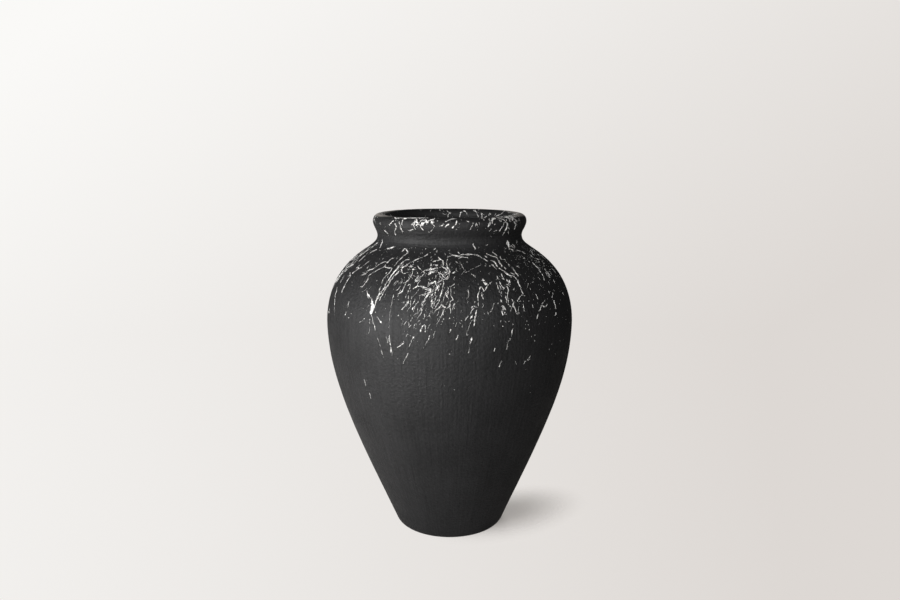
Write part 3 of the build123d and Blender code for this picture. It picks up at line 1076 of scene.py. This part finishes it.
flicks += [f._replace(turn=HALF_ROUND + f.turn) for f in flicks if f.spread < ALL_ROUND]
drops += [d._replace(turn=HALF_ROUND + d.turn) for d in drops if d.spread < ALL_ROUND]

# A flick's least width and the most that chance adds, its length as shares of the longest with a power that
# favours short ones, the spread of its lean in degrees, and how far it bows as a share of its length
FLICK_WIDTH = 0.14
FLICK_EXTRA = 0.27
FLICK_LENGTHS = (0.25, 1)
SHORT_POWER = 1.5
LEAN_SPREAD = 13
BOW = 0.12
# Radii of the drops and knots listed above, and the scale and roots of the chance drops' radii, mostly small
DROP_RADII = (0.46, 0.82)
KNOT_RADII = (0.8, 1.2)
SPECK_SCALE = 2.4
SPECK_ROOTS = (0.2, 0.45)
# How far a stroke on the back may lie from its front one turned half round: degrees, and tape in mm
BACK_TURN = 4
BACK_TAPE = 5


def sprayed(spray):
    """A chance place of a spray."""
    high, common, low = spray.tape
    if spray.spread == ALL_ROUND:
        turn = chance.uniform(-HALF_ROUND, HALF_ROUND)
    else:
        turn = chance.gauss(spray.turn, spray.spread)
    return Vector((turn, chance.triangular(high, low, common)))


def flick(spray):
    """A short thin stroke from a chance place, mostly down the wall and a little bowed."""
    brush = Brush(FLICK_WIDTH + FLICK_EXTRA * chance.random() ** 2, 0, 0)
    start = sprayed(spray)
    length = chance.uniform(*FLICK_LENGTHS) ** SHORT_POWER * spray.length
    lean = radians(chance.gauss(spray.lean, LEAN_SPREAD))
    girth = girth_degrees(start.y)
    end = start + Vector((sin(lean) * girth, cos(lean))) * length
    middle = (start + end) / 2 + Vector((chance.uniform(-BOW, BOW) * length * girth, 0))
    return brush, start, middle, end


def speck(spray):
    """A chance drop of a spray: its place and radius."""
    place = sprayed(spray)
    return place, chance.uniform(*SPECK_ROOTS) ** 2 * SPECK_SCALE


def turned_back(stroke):
    """The like of a front stroke on the back of the jar, as another hand movement would leave it."""
    brush, *places = stroke
    shift = Vector((chance.uniform(-BACK_TURN, BACK_TURN), chance.uniform(-BACK_TAPE, BACK_TAPE)))
    return brush, *[Vector((HALF_ROUND + turn, mark)) + shift for turn, mark in places]


# Chalk of the white slip: its grain in mm, drawn coarser than chalk's own, which is too fine to show, the
# relief of it, and the whites where it is thin and full
CHALK = 2.5
CHALK_RELIEF = 0.2
THIN_WHITE = (0.3, "#e0deda")
FULL_WHITE = (0.6, "#fbfaf8")


def white_slip():
    """White slip dried matt and chalky, a little thin and grey in places."""
    material, tree = new_material("white_slip")
    place = add_node(tree, "ShaderNodeTexCoord").outputs["Object"]
    chalky = {"Vector": place, "Scale": 1 / (CHALK * MM), "Detail": 3.0}
    chalk = add_node(tree, "ShaderNodeTexNoise", chalky).outputs[0]
    shade = add_node(tree, "ShaderNodeValToRGB", {"Fac": chalk})
    for element, (position, colour) in zip(shade.color_ramp.elements, (THIN_WHITE, FULL_WHITE)):
        element.position = position
        element.color = srgb(colour)
    raised = {"Height": chalk, "Strength": 0.3, "Distance": CHALK_RELIEF * MM}
    bump = add_node(tree, "ShaderNodeBump", raised)
    surface = {"Base Color": shade.outputs[0], "Roughness": 0.85, "Normal": bump.outputs[0], "IOR": 1.5}
    shader = add_node(tree, "ShaderNodeBsdfPrincipled", surface)
    add_node(tree, "ShaderNodeOutputMaterial", {"Surface": shader.outputs[0]})
    return material


strokes = front + inside_neck + [turned_back(stroke) for stroke in front]
strokes += [flick(spray) for spray in flicks for i in range(spray.count)]
beads = [(Vector(place), chance.uniform(*DROP_RADII)) for place in front_drops]
beads += [(Vector(place), chance.uniform(*KNOT_RADII)) for place in knots]
beads += [speck(spray) for spray in drops for i in range(spray.count)]

# Lowest tape mark of each part of the jar that carries white slip
lowest_marks = {"white_slip_rim": 34, "white_slip_shoulder": 150, "white_slip_belly": 400}
slips = {name: Slip() for name in lowest_marks}


def slip_at(mark):
    """The white slip of the part of the jar at a tape mark."""
    return next(slips[name] for name, lowest in lowest_marks.items() if mark < lowest)


for brush, *places in strokes:
    slip_at(places[0][1]).add_stroke(brush, places)
for place, radius in beads:
    slip_at(place.y).add_drop(place, radius)
white = white_slip()
for name, slip in slips.items():
    dress(slip.make(name), white, "white_slip")


# Stage: pale paper in a pale studio, in metres

FLOOR_RADIUS = 3.0
FLOOR_SIDES = 128
# The patch of floor that shows: an oval beside the foot, where the shadow falls, that fades out between
# these shares of its size
PATCH_MIDDLE = (0.085, 0.012, 0)
PATCH_TURN = 34
PATCH_SIZE = (0.145, 0.085, 1)
FADE_FROM = 0.1
FADE_TO = 1.0
# Light from within the paper of that patch, and where along X the paper that lights the jar grows dark
PAPER_GLOW = 0.17
DARKER_FROM = -0.35
DARKEST_AT = 0.15
bpy.ops.object.select_all(action="DESELECT")
bpy.ops.mesh.primitive_circle_add(vertices=FLOOR_SIDES, radius=FLOOR_RADIUS, fill_type="NGON")
floor = bpy.context.object
floor.name = "floor"


def pale_floor():
    """Smooth pale paper without gloss. The camera sees a patch of it by the foot, and past it the studio."""
    material, tree = new_material("pale_paper")
    place = add_node(tree, "ShaderNodeTexCoord").outputs["Object"]
    oval = {0: place, 1: PATCH_MIDDLE, 2: (0, 0, radians(PATCH_TURN)), 3: PATCH_SIZE}
    patch = add_node(tree, "ShaderNodeMapping", oval, vector_type="TEXTURE").outputs[0]
    reach = add_node(tree, "ShaderNodeVectorMath", {0: patch}, operation="LENGTH").outputs["Value"]
    outward = {0: reach, 1: FADE_FROM, 2: FADE_TO}
    fade = add_node(tree, "ShaderNodeMapRange", outward, interpolation_type="SMOOTHSTEP").outputs[0]
    seen = add_node(tree, "ShaderNodeLightPath").outputs["Is Camera Ray"]
    lit = add_node(tree, "ShaderNodeBsdfDiffuse", {"Color": srgb("#d6d2ce")})
    glow = add_node(tree, "ShaderNodeEmission", {"Color": srgb("#f4eee8"), "Strength": PAPER_GLOW})
    paper = add_node(tree, "ShaderNodeAddShader", {0: lit.outputs[0], 1: glow.outputs[0]})
    # Seen by the jar, the paper is darker on the right, so that it throws more light up at it from the left
    across = add_node(tree, "ShaderNodeSeparateXYZ", {0: place}).outputs["X"]
    right = add_node(tree, "ShaderNodeMapRange", {0: across, 1: DARKER_FROM, 2: DARKEST_AT})
    tints = {0: right.outputs[0], 6: srgb("#e4e1de"), 7: srgb("#8a8784")}
    tinted = add_node(tree, "ShaderNodeMix", tints, data_type="RGBA")
    dim = add_node(tree, "ShaderNodeBsdfDiffuse", {"Color": tinted.outputs[2]})
    clear = add_node(tree, "ShaderNodeBsdfTransparent")
    faded = add_node(tree, "ShaderNodeMixShader", {0: fade, 1: paper.outputs[0], 2: clear.outputs[0]})
    sheet = add_node(tree, "ShaderNodeMixShader", {0: seen, 1: dim.outputs[0], 2: faded.outputs[0]})
    add_node(tree, "ShaderNodeOutputMaterial", {"Surface": sheet.outputs[0]})
    return material


floor.data.materials.append(pale_floor())

# The studio that the camera sees: its wash of tone runs along this slope, between these places on it, and
# stays the same below this dip
WASH_SLOPE = (1, 0, -1.2)
WASH_LIGHT = -0.585
WASH_DARK = 0.608
WASH_DIP = -0.2
# The studio's own light: full on the far left, and fallen to dim at this share of the way to the right
GLOW_LEFT = 0.21
GLOW_RIGHT = 0.04
DIM_FROM = 0.3


def pale_studio():
    """A pale studio that shows a wash of tone, and lights the jar a little from the left."""
    world = bpy.data.worlds.new("pale_studio")
    world.use_nodes = True
    tree = world.node_tree
    tree.nodes.clear()
    seen = add_node(tree, "ShaderNodeLightPath").outputs["Is Camera Ray"]
    way = add_node(tree, "ShaderNodeTexCoord").outputs["Generated"]
    level = add_node(tree, "ShaderNodeVectorMath", {0: way, 1: (-1, -1, WASH_DIP)}, operation="MAXIMUM")
    sloped = {0: level.outputs[0], 1: WASH_SLOPE}
    slope = add_node(tree, "ShaderNodeVectorMath", sloped, operation="DOT_PRODUCT").outputs["Value"]
    share = add_node(tree, "ShaderNodeMapRange", {0: slope, 1: WASH_LIGHT, 2: WASH_DARK})
    tints = {0: share.outputs[0], 6: srgb("#faf9f7"), 7: srgb("#ddd8d4")}
    wash = add_node(tree, "ShaderNodeMix", tints, data_type="RGBA")
    backdrop = add_node(tree, "ShaderNodeBackground", {"Color": wash.outputs[2], "Strength": 1.0})
    across = add_node(tree, "ShaderNodeSeparateXYZ", {0: way}).outputs["X"]
    dimmed = {0: across, 1: -1.0, 2: DIM_FROM, 3: GLOW_LEFT, 4: GLOW_RIGHT}
    glow = add_node(tree, "ShaderNodeMapRange", dimmed).outputs[0]
    fill = add_node(tree, "ShaderNodeBackground", {"Color": srgb("#f2f0ee"), "Strength": glow})
    light = add_node(tree, "ShaderNodeMixShader", {0: seen, 1: fill.outputs[0], 2: backdrop.outputs[0]})
    add_node(tree, "ShaderNodeOutputWorld", {"Surface": light.outputs[0]})
    return world


bpy.context.scene.world = pale_studio()

# Height on the axis that the lamps face, in metres
LAMP_AIM = 0.25


def softbox(name, azimuth, elevation, distance, width, height, power):
    """A large soft lamp that faces the jar from a turn off the front and a height, both in degrees."""
    bpy.ops.object.light_add(type="AREA")
    lamp = bpy.context.object
    lamp.name = name
    turn, rise = radians(azimuth), radians(elevation)
    way = Vector((sin(turn) * cos(rise), -cos(turn) * cos(rise), sin(rise)))
    lamp.location = Vector((0, 0, LAMP_AIM)) + way * distance
    lamp.rotation_euler = way.to_track_quat("Z", "Y").to_euler()
    lamp.data.shape = "RECTANGLE"
    lamp.data.size = width
    lamp.data.size_y = height
    lamp.data.energy = power
    lamp.visible_camera = False


softbox("window_left", azimuth=-51, elevation=9, distance=1.6, width=1.9, height=0.95, power=36)
softbox("fill_front", azimuth=10, elevation=20, distance=2.5, width=1.6, height=1.2, power=27.5)
softbox("fill_back", azimuth=180, elevation=0, distance=0.8, width=0.3, height=0.3, power=3.4)

# Camera, at the place and lens that the photo was fitted with
LENS = 32.05
CAMERA_DISTANCE = 1.0954
CAMERA_HEIGHT = 0.5138
CAMERA_DIP = 10.06
CAMERA_ASIDE = 0.0005
camera_place = (CAMERA_ASIDE, -CAMERA_DISTANCE, CAMERA_HEIGHT)
bpy.ops.object.camera_add(location=camera_place, rotation=(radians(90 - CAMERA_DIP), 0, 0))
camera = bpy.context.object
camera.data.lens = LENS
bpy.context.scene.camera = camera
bpy.context.scene.view_settings.view_transform = "Standard"
